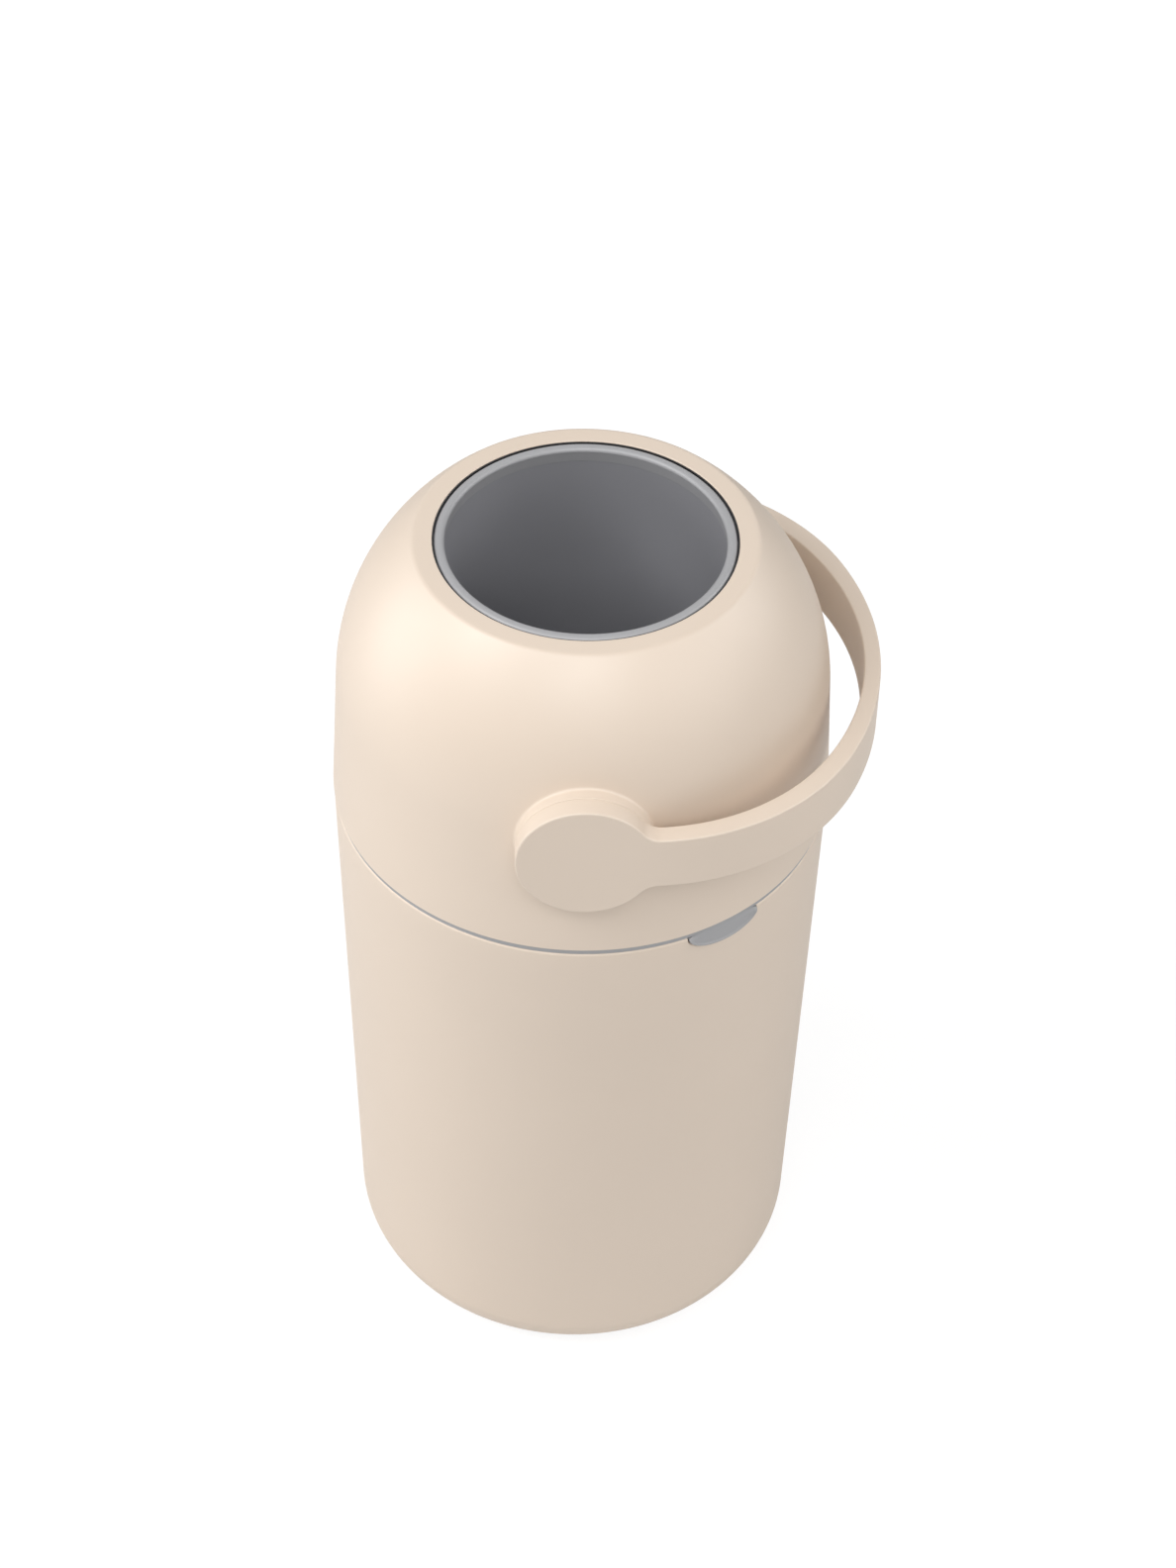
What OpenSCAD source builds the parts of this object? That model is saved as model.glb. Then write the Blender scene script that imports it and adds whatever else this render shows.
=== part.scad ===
// Nappy bin. A tall bucket carries a bag ring and a lift-off domed head. In the head
// turns a ball-shaped drum with a tube right through it. A nappy goes into the tube's
// mouth, the bail handle is swung over to the other side, and the weighted piston in the
// tube slides down and pushes the nappy out into the bag.
// Millimetres. Z = 0 is the floor, the pivot axis runs along Y, and the handle rests
// level, pointing along +X.

/* [Bucket] */
// Height from the floor to the rim
bucket_h = 368.6; // [300:0.1:430]
// Outer radius at the rim
bucket_rim_r = 139.5; // [137.5:0.1:141]
// How much smaller the outer radius is just above the rounded foot
bucket_taper = 6.5; // [2:0.5:24]
// Radius of the rounded foot
foot_round_r = 32; // [15:0.5:45]
// Wall thickness
bucket_wall = 2.8; // [2:0.1:3.4]
// Height of the upright band below the rim
rim_band_h = 6; // [4:0.5:12]
// Rounding on the rim's outer edge
rim_round_r = 1.6; // [0.6:0.1:2]
// Thickness of the floor
floor_t = 3; // [2:0.1:5]
// Depth of the recess under the floor
recess_h = 2.5; // [1.5:0.1:5]
// Width of the ring that the bucket stands on
stand_w = 15; // [13:0.5:22]
// Number of ribs under the floor
rib_n = 8; // [3:1:12]
// Thickness of the ribs under the floor
rib_t = 2.4; // [1.5:0.1:4]
// Radius of the flat boss in the middle of the base
base_boss_r = 18; // [10:0.5:30]
// Number of rubber pads in the standing ring
pad_n = 4; // [3:1:8]
// Radius of a pad
pad_r = 5; // [3:0.1:5.5]
// Depth that a pad is let into the ring
pad_depth = 1.4; // [0.8:0.1:2]

/* [Bag ring] */
// Height of the visible band between bucket and dome
band_h = 4; // [3:0.1:8]
// How far the band stands back from the dome's edge
band_inset = 0.3; // [0:0.1:1]
// Rounding on the band's outer edges
band_round_r = 0.5; // [0.2:0.1:1]
// Length of the skirt inside the bucket
skirt_len = 38; // [20:0.5:60]
// Thickness of the skirt
skirt_t = 2; // [1.5:0.1:3]
// Gap between skirt and bucket, where the bag is held
skirt_gap = 1.4; // [0.8:0.1:2]
// Direction of the grip tab, turned from the handle's side
tab_angle = -56.3; // [-90:0.1:90]
// Half the width of the tab
tab_half_w = 22.6; // [14:0.2:30]
// How far the tab hangs below the band
tab_drop = 10.4; // [7:0.1:20]
// How far the tab's sides run straight down below the band
tab_side = 0.4; // [0.2:0.1:2]
// How far the tab's face stands out at its lower lip
tab_flare = 2.4; // [1:0.1:4]
// Thickness of the tab behind the band's face
tab_t = 2.6; // [1.6:0.1:2.7]
// Gap round the tab in its notch
tab_gap = 0.6; // [0.3:0.1:1]
// Width of the seal on top of the band
gasket_w = 2.4; // [1.5:0.1:4]
// Height of the seal on top of the band
gasket_h = 1.6; // [1:0.1:2.5]

/* [Dome] */
// How far the dome's lower edge stands out past the bucket's rim
edge_overhang = 0.5; // [0.2:0.1:2]
// How much smaller the shoulder's radius is than the lower edge's
shoulder_inset = 3.9; // [3:0.1:5.5]
// Height of the shoulder's centre above the lower edge
dome_centre_h = 72; // [66:0.5:76]
// Width of the flat land between the opening and the land's rounding
land_w = 9.27; // [8:0.01:12]
// Rounding where the shoulder meets the land
land_round_r = 4; // [2:0.5:8]
// Rounding on the opening's edge
opening_round_r = 0.5; // [0.3:0.1:1]
// Thickness of the land at the opening
opening_edge_t = 1.2; // [1.1:0.1:2]
// Width over which the land thins toward the opening
opening_slope_w = 2.5; // [2:0.1:4]
// Wall thickness
dome_wall = 3; // [2.4:0.1:3.4]
// Height of the pivot above the shoulder's centre
pivot_rise = 3; // [1:0.1:5]
// Radius of the two bearing bosses
boss_r = 36.8; // [35:0.1:40]
// How far a boss's face stands past the shoulder's radius
boss_proud = 0.9; // [0.5:0.1:3]
// Radius of the hollow where a boss meets the shoulder
boss_foot_r = 3; // [2:0.5:8]
// Number of screws that hold the head's base
base_screw_n = 6; // [4:2:8]
// Distance of these screws' axes from the dome's lower edge
base_screw_inset = 18; // [17:0.1:18.5]

/* [Head base] */
// Thickness of the plate
plate_t = 3; // [2:0.1:4]
// Height of the plate above the dome's lower edge
plate_lift = 2; // [1:0.1:3]
// Thickness of the bowl under the drum
bowl_t = 2.4; // [1.6:0.1:4]
// Gap between bowl and drum, which the lower seal fills
bowl_gap = 3.2; // [2.4:0.1:5]
// How far the spigot reaches below the dome's edge
spigot_drop = 6.6; // [4:0.1:12]
// Thickness of the spigot
spigot_t = 2.1; // [1.5:0.1:3]
// Gap between spigot and bag ring
spigot_gap = 0.6; // [0.3:0.1:1]
// Width of the seals
seal_w = 6; // [3:0.5:7]
// How far the upper seal stands into the opening
seal_in = 0.65; // [0.4:0.05:0.7]
// Depth of the upper seal's edge below the land
seal_down = 0.6; // [0.5:0.1:0.9]

/* [Drum] */
// Inner radius of the tube
tube_r = 76.4; // [74.4:0.1:77.9]
// Thickness of the tube
tube_wall = 3.6; // [3:0.1:4]
// How far a lip ring reaches in over the tube's bore
lip_in = 1.2; // [1:0.1:3]
// How far a lip ring reaches out over the tube
lip_out = 1; // [0.8:0.1:1.4]
// Height of a lip ring's rounded part
lip_h = 4.2; // [3.4:0.1:6]
// Depth of a lip ring's skirt in the tube
lip_skirt_h = 5; // [3:0.1:10]
// Rounding on a lip ring's outer edge
lip_round_r = 2.5; // [1.5:0.1:2.6]
// Gap between lip ring and the dome's opening
opening_gap = 1; // [0.6:0.1:1.5]
// Gap between the turning drum and the dome's opening
turn_gap = 0.85; // [0.6:0.05:1.5]
// Thickness of the drum's shell
ball_wall = 2.6; // [2:0.1:3.4]
// Distance of the drum's screws from the ball's surface
tower_inset = 11.4; // [11:0.1:13]
// Angle of these screws above and below the pivot's plane
tower_angle = 25; // [16:0.5:28]
// Radius of a screw tower
tower_r = 5.6; // [5:0.1:6]
// Width of the block that stops the drum, as an angle
stop_block_angle = 30; // [20:1:60]
// Turn of the drum from stop to stop
drum_turn = 180; // [150:1:180]

/* [Pivot] */
// Radius of the axles
axle_r = 14; // [12:0.1:14.5]
// Distance across an axle's flats
axle_flats = 24; // [20:0.1:24.5]
// Depth of the axle in the drum's socket
socket_depth = 14; // [10:0.5:18]
// Depth of the axle in the hub's socket
hub_socket_depth = 7.6; // [5:0.1:7.8]
// Wall of a bush
bush_wall = 3.2; // [2:0.1:3.6]
// Length of a bush without its flange
bush_len = 13; // [10:0.5:14]
// Thickness of a bush's flange
bush_flange_t = 1.5; // [1:0.1:2]
// Running clearance round an axle
run_gap = 0.06; // [0.03:0.01:0.1]
// Axial play between drum and bush
thrust_gap = 0.5; // [0.3:0.1:1]

/* [Handle] */
// Radius of a hub disc
hub_r = 36.8; // [35:0.1:40]
// Thickness of a hub disc
hub_t = 11; // [9.5:0.1:14]
// Gap between hub and bearing boss
hub_gap = 0.4; // [0.3:0.1:1]
// Gap round a hub where it is let into the dome's side
hub_side_gap = 0.4; // [0.3:0.1:1]
// Width of the bail
bail_w = 33.6; // [25:0.1:45]
// Thickness of the bail's end
bail_t = 9.1; // [8:0.1:10.5]
// Gap between the shoulder and the bail's end
bail_gap = 17.6; // [16:0.1:30]
// How far the arms' inner faces stand back from the hubs' backs
arm_inset = 0.1; // [0.1:0.1:2]
// Length of the straight arms
arm_len = 31; // [28:0.5:33]
// Distance of the corner arcs' centres from the bin's middle plane
corner_y = 21.4; // [20:0.1:33]
// Rounding on all edges of the handle
handle_round_r = 1; // [0.6:0.1:2]
// Radius of the hollow where arm and hub meet
root_round_r = 6.5; // [3:0.5:12]
// Wall of a hub
hub_wall = 3; // [2:0.1:4]

/* [Piston] */
// Height of the piston
piston_h = 30; // [22:0.5:45]
// Gap between the piston and the lip ring that it rests on
piston_rest_gap = 0.1; // [0.05:0.05:0.3]
// Gap between the piston's body and the tube
piston_gap = 0.45; // [0.4:0.05:0.6]
// Rounding on the piston's edges
piston_round_r = 0.4; // [0.2:0.1:0.5]
// Gap between the piston's wipers and the tube
wiper_gap = 0.3; // [0.2:0.05:0.35]
// Height of a wiper
wiper_h = 3; // [2:0.1:4]
// Distance of a wiper from the piston's end
wiper_inset = 4.5; // [3.5:0.1:7]
// Thickness of the piston's two faces
piston_face_t = 2.6; // [2:0.1:3.2]
// Radius of the steel weight
weight_r = 52; // [30:1:54]
// Thickness of the steel weight
weight_t = 8; // [4:0.5:12]
// Number of screws in the piston
piston_screw_n = 3; // [3:1:6]

/* [Screws] */
// Radius of a screw's shank
screw_r = 1.9; // [1.5:0.05:2.1]
// Radius of a screw's head
screw_head_r = 3.6; // [3:0.1:4]
// Thickness of a screw's head
screw_head_t = 2.2; // [1.6:0.1:2.6]
// Bite of a screw in its boss
screw_bite = 14; // [8:0.5:16]

/* [Hidden] */

$fn = 96;
far = 400; // longer than any piece that a cut has to pass through
eps = 0.02; // lets a cut break through a face
touch_in = 0.005; // lets a line cross a circle that it would only touch
foot_in = 0.05; // lets a boss's foot run into the boss and the shoulder
fit_gap = 0.05; // between pieces that are pushed together
screw_gap = 0.3; // round a screw that passes through

cream = "#dfd2c2";
grey = "#9a9a9f";
dark_grey = "#6f6f75";
seal_black = "#2b2b2e";
acetal_white = "#eceae4";
steel = "#b8babd";

// dome and opening
dome_edge_r = bucket_rim_r + edge_overhang;
dome_r = dome_edge_r - shoulder_inset;
lip_outer_r = tube_r + tube_wall + lip_out;
opening_r = lip_outer_r + opening_gap;
land_rise = land_round_r + sqrt((dome_r - land_round_r) ^ 2 - (opening_r + land_w) ^ 2);
dome_h = dome_centre_h + round(10 * land_rise) / 10; // the land above the lower edge
pivot_h = dome_centre_h + pivot_rise;
base_screw_circle_r = dome_edge_r - base_screw_inset;
base_screw_turn = 30; // direction of the first of these screws

// heights from the floor
edge_z = bucket_h + band_h;
pivot_z = edge_z + pivot_h;
plate_z = edge_z + plate_lift;
plate_rel = plate_z - pivot_z; // the plate's underside, from the pivot
land_under = dome_h - dome_wall - pivot_h; // the land's underside, from the pivot
edge_under = dome_h - opening_edge_t - pivot_h; // the underside at the opening, from the pivot

bucket_foot_r = bucket_rim_r - bucket_taper;

// outer radius of the bucket's wall at height z
function bucket_out(z) =
    bucket_foot_r
    + (bucket_rim_r - bucket_foot_r) * (z - foot_round_r) / (bucket_h - rim_band_h - foot_round_r);

// bag ring
band_r = dome_edge_r - band_inset;
skirt_r = bucket_out(bucket_h - skirt_len) - bucket_wall - skirt_gap;
ring_bore_r = skirt_r - skirt_t;
spigot_r = ring_bore_r - spigot_gap;
gasket_r = (ring_bore_r + band_r - gasket_w) / 2;

// drum, with its centre at the pivot
lip_r = tube_r - lip_in;
turn_r = norm([opening_r, edge_under]) - turn_gap; // all of the drum turns inside this
lip_top = lip_round_r + sqrt((turn_r - lip_round_r) ^ 2 - (lip_outer_r - lip_round_r) ^ 2);
lip_seat = lip_top - lip_h;
lip_end = lip_seat - lip_skirt_h;
ball_r = turn_r - 0.3;
seal_r = turn_r + 0.3; // the seals' tips
bowl_r = ball_r + bowl_gap;
bowl_hole_r = opening_r + opening_slope_w;
collar_r = tube_r + tube_wall + 0.3;
tower_circle_r = ball_r - tower_inset;
tower_x = tower_circle_r * cos(tower_angle);
tower_h = tower_circle_r * sin(tower_angle);
tower_len = sqrt((ball_r - ball_wall / 2) ^ 2 - (tower_circle_r + tower_r / 2) ^ 2);
tower_seat = 12; // depth of a screw's head seat behind the joint face

// pivot, as distances from the drum's centre outward along the axle
boss_face = dome_r + boss_proud;
bush_r = axle_r + run_gap + bush_wall;
sleeve_r = bush_r + 3.6;
sleeve_end = boss_face - bush_len;
flange_end = sleeve_end - bush_flange_t;
bush_flange_r = sleeve_r + 1.2;
drum_face = flange_end - thrust_gap;
pole_face = drum_face - 2.5;
socket_end = drum_face - socket_depth;
socket_wall = 4.5;
hub_in = boss_face + hub_gap;
hub_out = hub_in + hub_t;
axle_end = hub_in + hub_socket_depth;
hub_post_r = 4.8;
hub_post_len = 17;

// stops, as angles round the pivot from the handle's side
stop_gap = 0.6;
stop_in_r = bush_flange_r + 1.6;
stop_out_r = sqrt(ball_r ^ 2 - pole_face ^ 2) - 0.6;
stop_arc_start = -90 + stop_block_angle / 2 + stop_gap;
stop_arc_angle = 360 - stop_block_angle - drum_turn - 2 * stop_gap;

// handle: the bail's two outlines are each straight arms, corner arcs and one end arc
bail_in = dome_r + bail_gap; // reach of the inner outline
bail_out = bail_in + bail_t;
bail_lap = 0.8; // angle by which the end arc runs into the corners
bail_lap_in = 0.02; // how much one piece of the bail is thinner than another on each side
layer_t = 0.7 * hub_t; // thickness of the two layers that overlap in the bail

// how much larger the end arc's radius is than the corner's, for an outline at y and reach
function end_over(y, reach) =
    let (short = reach - arm_len - (y - corner_y))
    (corner_y ^ 2 + short ^ 2) / (2 * short);

// piston, as heights from the drum's centre
piston_low = -lip_end + piston_rest_gap;
piston_top = piston_low + piston_h;
piston_r = tube_r - piston_gap;
wiper_r = tube_r - wiper_gap;
groove_r = piston_r - 2.2;
piston_wall = 5;
piston_screw_circle_r = weight_r + screw_r + 5;

// ---- shared shapes ----

// puts a piece's own Z axis on the pivot, pointing out of the front
module at_front() {
    translate([0, 0, pivot_z])
        rotate([90, 0, 0])
            children();
}

module at_rear() {
    mirror([0, 1, 0])
        at_front()
            children();
}

module at_pivot() {
    translate([0, 0, pivot_z])
        children();
}

module ring(r_out, r_in, h) {
    difference() {
        cylinder(h = h, r = r_out);
        translate([0, 0, -eps])
            cylinder(h = h + 2 * eps, r = r_in);
    }
}

// the sliver outside a round edge of radius r, whose corner is at the origin
module corner(r) {
    translate([-r, -r])
        difference() {
            square(r + 1);
            circle(r);
        }
}

module rounded_rect(w, h, r) {
    translate([r, 0])
        square([w - 2 * r, h]);
    translate([0, r])
        square([w, h - 2 * r]);
    for (x = [r, w - r], y = [r, h - r])
        translate([x, y])
            circle(r);
}

module around(n, r, first = 0) {
    for (i = [0:n - 1])
        rotate([0, 0, first + i * 360 / n])
            translate([r, 0, 0])
                children();
}

// a screw whose head sits on z = 0 and whose shank points up
module screw(len) {
    translate([0, 0, -screw_head_t])
        cylinder(h = screw_head_t, r = screw_head_r);
    cylinder(h = len, r = screw_r);
}

// ---- bucket ----

module bucket_outline(inset, bottom) {
    foot_c = bucket_foot_r - foot_round_r;
    translate([0, bottom])
        square([foot_c, foot_round_r - bottom]);
    intersection() {
        translate([foot_c, foot_round_r])
            circle(foot_round_r - inset);
        translate([foot_c - 1, bottom])
            square([foot_round_r + 1, foot_round_r - bottom]);
    }
    polygon([
        [0, foot_round_r],
        [bucket_foot_r - inset, foot_round_r],
        [bucket_rim_r - inset, bucket_h - rim_band_h],
        [bucket_rim_r - inset, bucket_h],
        [0, bucket_h]
    ]);
}

module bucket_wall_profile() {
    difference() {
        bucket_outline(0, 0);
        difference() {
            bucket_outline(bucket_wall, recess_h + floor_t);
            translate([0, bucket_h])
                square([far, 1]);
        }
        translate([0, bucket_h - eps])
            square([bucket_rim_r - bucket_wall, 1]);
        translate([bucket_rim_r, bucket_h])
            corner(rim_round_r);
    }
}

stand_r = bucket_foot_r - foot_round_r; // outer radius of the standing ring's flat
pad_circle_r = stand_r - stand_w / 2;

module underside_recess() {
    difference() {
        translate([0, 0, -1])
            ring(stand_r - stand_w, base_boss_r, recess_h + 1);
        for (i = [0:rib_n - 1])
            rotate([0, 0, i * 360 / rib_n])
                translate([0, -rib_t / 2, -2])
                    cube([stand_r, rib_t, recess_h + 3]);
    }
}

module pad_pockets() {
    around(pad_n, pad_circle_r, 45)
        translate([0, 0, -1])
            cylinder(h = pad_depth + 1, r = pad_r + fit_gap);
}

module bucket() {
    color(cream)
        difference() {
            rotate_extrude()
                bucket_wall_profile();
            underside_recess();
            pad_pockets();
            tab_prism(tab_gap);
        }
}

module base_pads() {
    color(seal_black)
        around(pad_n, pad_circle_r, 45)
            cylinder(h = pad_depth, r = pad_r);
}

// ---- bag ring ----

// the tab's outline, across its width and up: a rounded D that hangs from the band
function tab_points(grow) = concat(
    [for (a = [0:10:180]) [
        (tab_half_w + grow) * cos(a),
        bucket_h - tab_side - (tab_drop - tab_side + grow) * pow(sin(a), 0.8)
    ]],
    [[-tab_half_w - grow, bucket_h + band_h / 2], [tab_half_w + grow, bucket_h + band_h / 2]]
);

module tab_prism(grow) {
    rotate([0, 0, tab_angle])
        rotate([90, 0, 90])
            linear_extrude(far)
                polygon(tab_points(grow));
}

module tab_profile() {
    low = bucket_h - tab_drop;
    polygon([
        [band_r - tab_t, low - 1],
        [band_r + tab_flare * 0.7, low - 1],
        [band_r + tab_flare, low + 1],
        [band_r + tab_flare, low + 2.2],
        [band_r + tab_flare * 0.55, low + 3.4],
        [band_r + 0.4, bucket_h + band_h / 5],
        [band_r - 0.6, bucket_h + band_h / 2.2],
        [band_r - tab_t, bucket_h + band_h / 2.2]
    ]);
}

module band_profile() {
    difference() {
        translate([0, bucket_h])
            square([band_r, band_h]);
        translate([0, bucket_h - eps])
            square([ring_bore_r, band_h + 2 * eps]);
        translate([band_r, edge_z])
            corner(band_round_r);
        translate([band_r, bucket_h])
            mirror([0, 1])
                corner(band_round_r);
        translate([gasket_r - fit_gap, edge_z - gasket_h])
            square([gasket_w + 2 * fit_gap, gasket_h + 1]);
    }
}

module skirt_profile() {
    low = bucket_h - skirt_len;
    translate([ring_bore_r, low])
        square([skirt_t, skirt_len + band_h / 4]);
    translate([ring_bore_r - 1.2, low])
        rounded_rect(skirt_t + 1.2, 3.2, 1); // bead that stiffens the free edge
}

module bag_ring() {
    color(grey) {
        rotate_extrude() {
            band_profile();
            skirt_profile();
        }
        intersection() {
            rotate_extrude()
                tab_profile();
            tab_prism(0);
        }
    }
}

module ring_gasket() {
    color(seal_black)
        translate([0, 0, edge_z - gasket_h])
            ring(gasket_r + gasket_w, gasket_r, gasket_h);
}

// ---- head ----

// where a line from the lower edge touches the shoulder's circle, as [angle, r, z]
function shoulder_touch(inset) =
    let (
        edge = dome_edge_r - inset,
        r = dome_r - inset,
        a = atan2(-dome_centre_h, edge) + acos(r / norm([edge, dome_centre_h]))
    )
    [a, (r - touch_in) * cos(a), dome_centre_h + (r - touch_in) * sin(a)];

module dome_outline(inset, top) {
    touch = shoulder_touch(inset);
    intersection() {
        translate([0, dome_centre_h])
            circle(dome_r - inset);
        translate([0, touch[2] - 4])
            square([far, top - touch[2] + 4]);
    }
    polygon([[0, 0], [dome_edge_r - inset, 0], [touch[1], touch[2]], [0, touch[2]]]);
}

// the sliver outside the rounding between shoulder and land
module land_corner() {
    r = dome_r - land_round_r;
    up = dome_h - land_round_r - dome_centre_h;
    c = [sqrt(r ^ 2 - up ^ 2), dome_h - land_round_r];
    out = (c - [0, dome_centre_h]) / r;
    difference() {
        polygon([c, c + [0, 8], c + [12, 8], c + (land_round_r + 3) * out]);
        translate(c)
            circle(land_round_r);
    }
}

// what is cut away under the land so that it thins toward the opening
module opening_slope() {
    low = dome_h - dome_wall;
    fall = (dome_wall - opening_edge_t) / opening_slope_w;
    polygon([
        [opening_r - 1, low - fall],
        [opening_r - 1, dome_h - opening_edge_t + fall],
        [opening_r + opening_slope_w + 1, low - fall]
    ]);
}

module dome_profile() {
    difference() {
        dome_outline(0, dome_h);
        difference() {
            dome_outline(dome_wall, dome_h - dome_wall);
            square([far, eps]);
        }
        square([dome_edge_r - dome_wall, 2 * eps]);
        square([opening_r, far]);
        opening_slope();
        land_corner();
        translate([opening_r, dome_h])
            mirror([1, 0])
                corner(opening_round_r);
    }
}

// the hollow foot of a boss, turned about the line from the shoulder's centre to the boss
module boss_foot() {
    line_up = sqrt((dome_r + boss_foot_r) ^ 2 - (boss_r + boss_foot_r) ^ 2);
    c = [boss_r + boss_foot_r, line_up];
    deep = c * (dome_r - dome_wall / 2) / (dome_r + boss_foot_r);
    in_r = boss_r - dome_wall / 2;
    translate([0, -pivot_rise, 0])
        rotate([-atan2(pivot_rise, boss_face), 0, 0])
            rotate_extrude()
                difference() {
                    polygon([[in_r, line_up], c, deep, [in_r, deep[1]]]);
                    translate(c)
                        circle(boss_foot_r + foot_in);
                }
}

module boss_solid() {
    translate([0, 0, boss_face - boss_r])
        cylinder(h = boss_r + 1, r = boss_r);
    boss_foot();
}

module boss_hollow() {
    translate([0, 0, boss_face - boss_r])
        cylinder(h = boss_r - dome_wall, r = boss_r - dome_wall);
}

// flat seat for the hub, which cuts into the dome's side below the boss
module hub_seat() {
    translate([0, 0, boss_face])
        cylinder(h = far, r = hub_r + hub_side_gap);
}

module sleeve() {
    translate([0, 0, sleeve_end])
        cylinder(h = boss_face - sleeve_end, r = sleeve_r);
}

module stop_block() {
    rotate([0, 0, -90 - stop_block_angle / 2])
        rotate_extrude(angle = stop_block_angle)
            translate([stop_in_r, pole_face + 0.8])
                square([boss_r - dome_wall / 2 - stop_in_r, boss_face - dome_wall / 2 - pole_face - 0.8]);
}

// pilot bosses for the base's screws, each with a web to the wall
module base_screw_bosses() {
    top = plate_z + plate_t + screw_bite + 3;
    around(base_screw_n, base_screw_circle_r, base_screw_turn) {
        translate([0, 0, plate_z + plate_t])
            cylinder(h = top - plate_z - plate_t, r = screw_r + 2.6);
        translate([0, -1.2, plate_z + plate_t])
            cube([dome_edge_r - dome_wall / 2 - 0.5 - base_screw_circle_r, 2.4, top - plate_z - plate_t - 4]);
    }
}

module dome() {
    color(cream)
        difference() {
            union() {
                difference() {
                    union() {
                        translate([0, 0, edge_z])
                            rotate_extrude()
                                dome_profile();
                        difference() {
                            union() {
                                at_front()
                                    boss_solid();
                                at_rear()
                                    boss_solid();
                            }
                            translate([0, 0, edge_z])
                                rotate_extrude()
                                    dome_outline(dome_wall, dome_h - dome_wall);
                        }
                    }
                    at_front()
                        boss_hollow();
                    at_rear()
                        boss_hollow();
                }
                at_front() {
                    sleeve();
                    stop_block();
                }
                at_rear() {
                    sleeve();
                    stop_block();
                }
                base_screw_bosses();
            }
            at_front() {
                hub_seat();
                cylinder(h = far, r = bush_r + fit_gap);
            }
            at_rear() {
                hub_seat();
                cylinder(h = far, r = bush_r + fit_gap);
            }
            around(base_screw_n, base_screw_circle_r, base_screw_turn)
                translate([0, 0, plate_z])
                    cylinder(h = plate_t + screw_bite + 1, r = screw_r + fit_gap);
        }
}

// the upper seal's lowest point at radius r
function seal_low(r) = sqrt(seal_r ^ 2 - r ^ 2) + 0.1;

// soft lip under the land that wipes the drum and lines the opening's edge
module upper_seal() {
    in_r = opening_r - seal_in;
    r = opening_r + opening_slope_w;
    top = dome_h - seal_down - pivot_h;
    color(seal_black)
        at_pivot()
            rotate_extrude()
                polygon([
                    [in_r, top],
                    [in_r, seal_low(in_r)],
                    [r, seal_low(r)],
                    [r + 1.2, seal_low(r)],
                    [r + 2.2, land_under - 1.8],
                    [r + seal_w, land_under - 1.8],
                    [r + seal_w, land_under - fit_gap],
                    [r, land_under - fit_gap],
                    [opening_r - fit_gap, edge_under - 2 * fit_gap],
                    [opening_r - fit_gap, top]
                ]);
}

module head_base_profile() {
    bowl_top = plate_rel + plate_t;
    plate_in_r = sqrt(bowl_r ^ 2 - bowl_top ^ 2);
    plate_out_r = shoulder_touch(dome_wall)[1] - 0.4;
    intersection() {
        difference() {
            circle(bowl_r + bowl_t);
            circle(bowl_r);
        }
        translate([bowl_hole_r, -far])
            square([far, far + bowl_top]);
    }
    translate([plate_in_r, plate_rel])
        square([plate_out_r - plate_in_r, plate_t]);
    translate([spigot_r - spigot_t, -pivot_h - spigot_drop])
        square([spigot_t, spigot_drop + plate_lift + plate_t / 2]);
}

module head_base() {
    color(grey)
        difference() {
            at_pivot()
                rotate_extrude()
                    head_base_profile();
            around(base_screw_n, base_screw_circle_r, base_screw_turn)
                translate([0, 0, plate_z - 1])
                    cylinder(h = plate_t + 2, r = screw_r + screw_gap);
        }
}

// soft ring in the bowl, round the hole that the nappy drops through
module lower_seal() {
    color(seal_black)
        at_pivot()
            rotate_extrude()
                intersection() {
                    difference() {
                        circle(bowl_r - fit_gap);
                        circle(seal_r);
                    }
                    translate([bowl_hole_r + 1, -far])
                        square([seal_w, far]);
                }
}

module base_screws() {
    color(steel)
        around(base_screw_n, base_screw_circle_r, base_screw_turn)
            translate([0, 0, plate_z])
                screw(plate_t + screw_bite);
}

module bush() {
    color(acetal_white)
        difference() {
            union() {
                translate([0, 0, sleeve_end])
                    cylinder(h = bush_len, r = bush_r);
                translate([0, 0, flange_end])
                    cylinder(h = bush_flange_t, r = bush_flange_r);
            }
            cylinder(h = far, r = axle_r + run_gap);
        }
}

module bush_front() {
    at_front()
        bush();
}

module bush_rear() {
    at_rear()
        bush();
}

// ---- drum ----

module ball_shell() {
    difference() {
        sphere(ball_r);
        intersection() {
            sphere(ball_r - ball_wall);
            rotate([90, 0, 0])
                cylinder(h = 2 * (pole_face - ball_wall), r = far, center = true);
        }
        for (side = [-1, 1])
            translate([-far / 2, side * (pole_face + far / 2) - far / 2, -far / 2])
                cube(far);
    }
}

// the two rings inside the ball that hold the tube
module tube_collars() {
    for (up = [0, 1])
        mirror([0, 0, up])
            translate([0, 0, lip_seat - 13])
                ring(collar_r + 2.5, collar_r, 13);
}

module towers() {
    for (x = [-tower_x, tower_x], h = [-tower_h, tower_h])
        translate([x, 0, h])
            rotate([90, 0, 0])
                cylinder(h = 2 * tower_len, r = tower_r, center = true);
}

module socket_boss() {
    translate([0, 0, socket_end - socket_wall])
        cylinder(h = drum_face - socket_end + socket_wall, r = axle_r + socket_wall);
}

// hole for an axle's flattened end
module flat_sided_hole(from, to) {
    translate([0, 0, from])
        intersection() {
            cylinder(h = to - from, r = axle_r + fit_gap);
            translate([-far / 2, -axle_flats / 2 - fit_gap, 0])
                cube([far, axle_flats + 2 * fit_gap, to - from]);
        }
}

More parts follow.
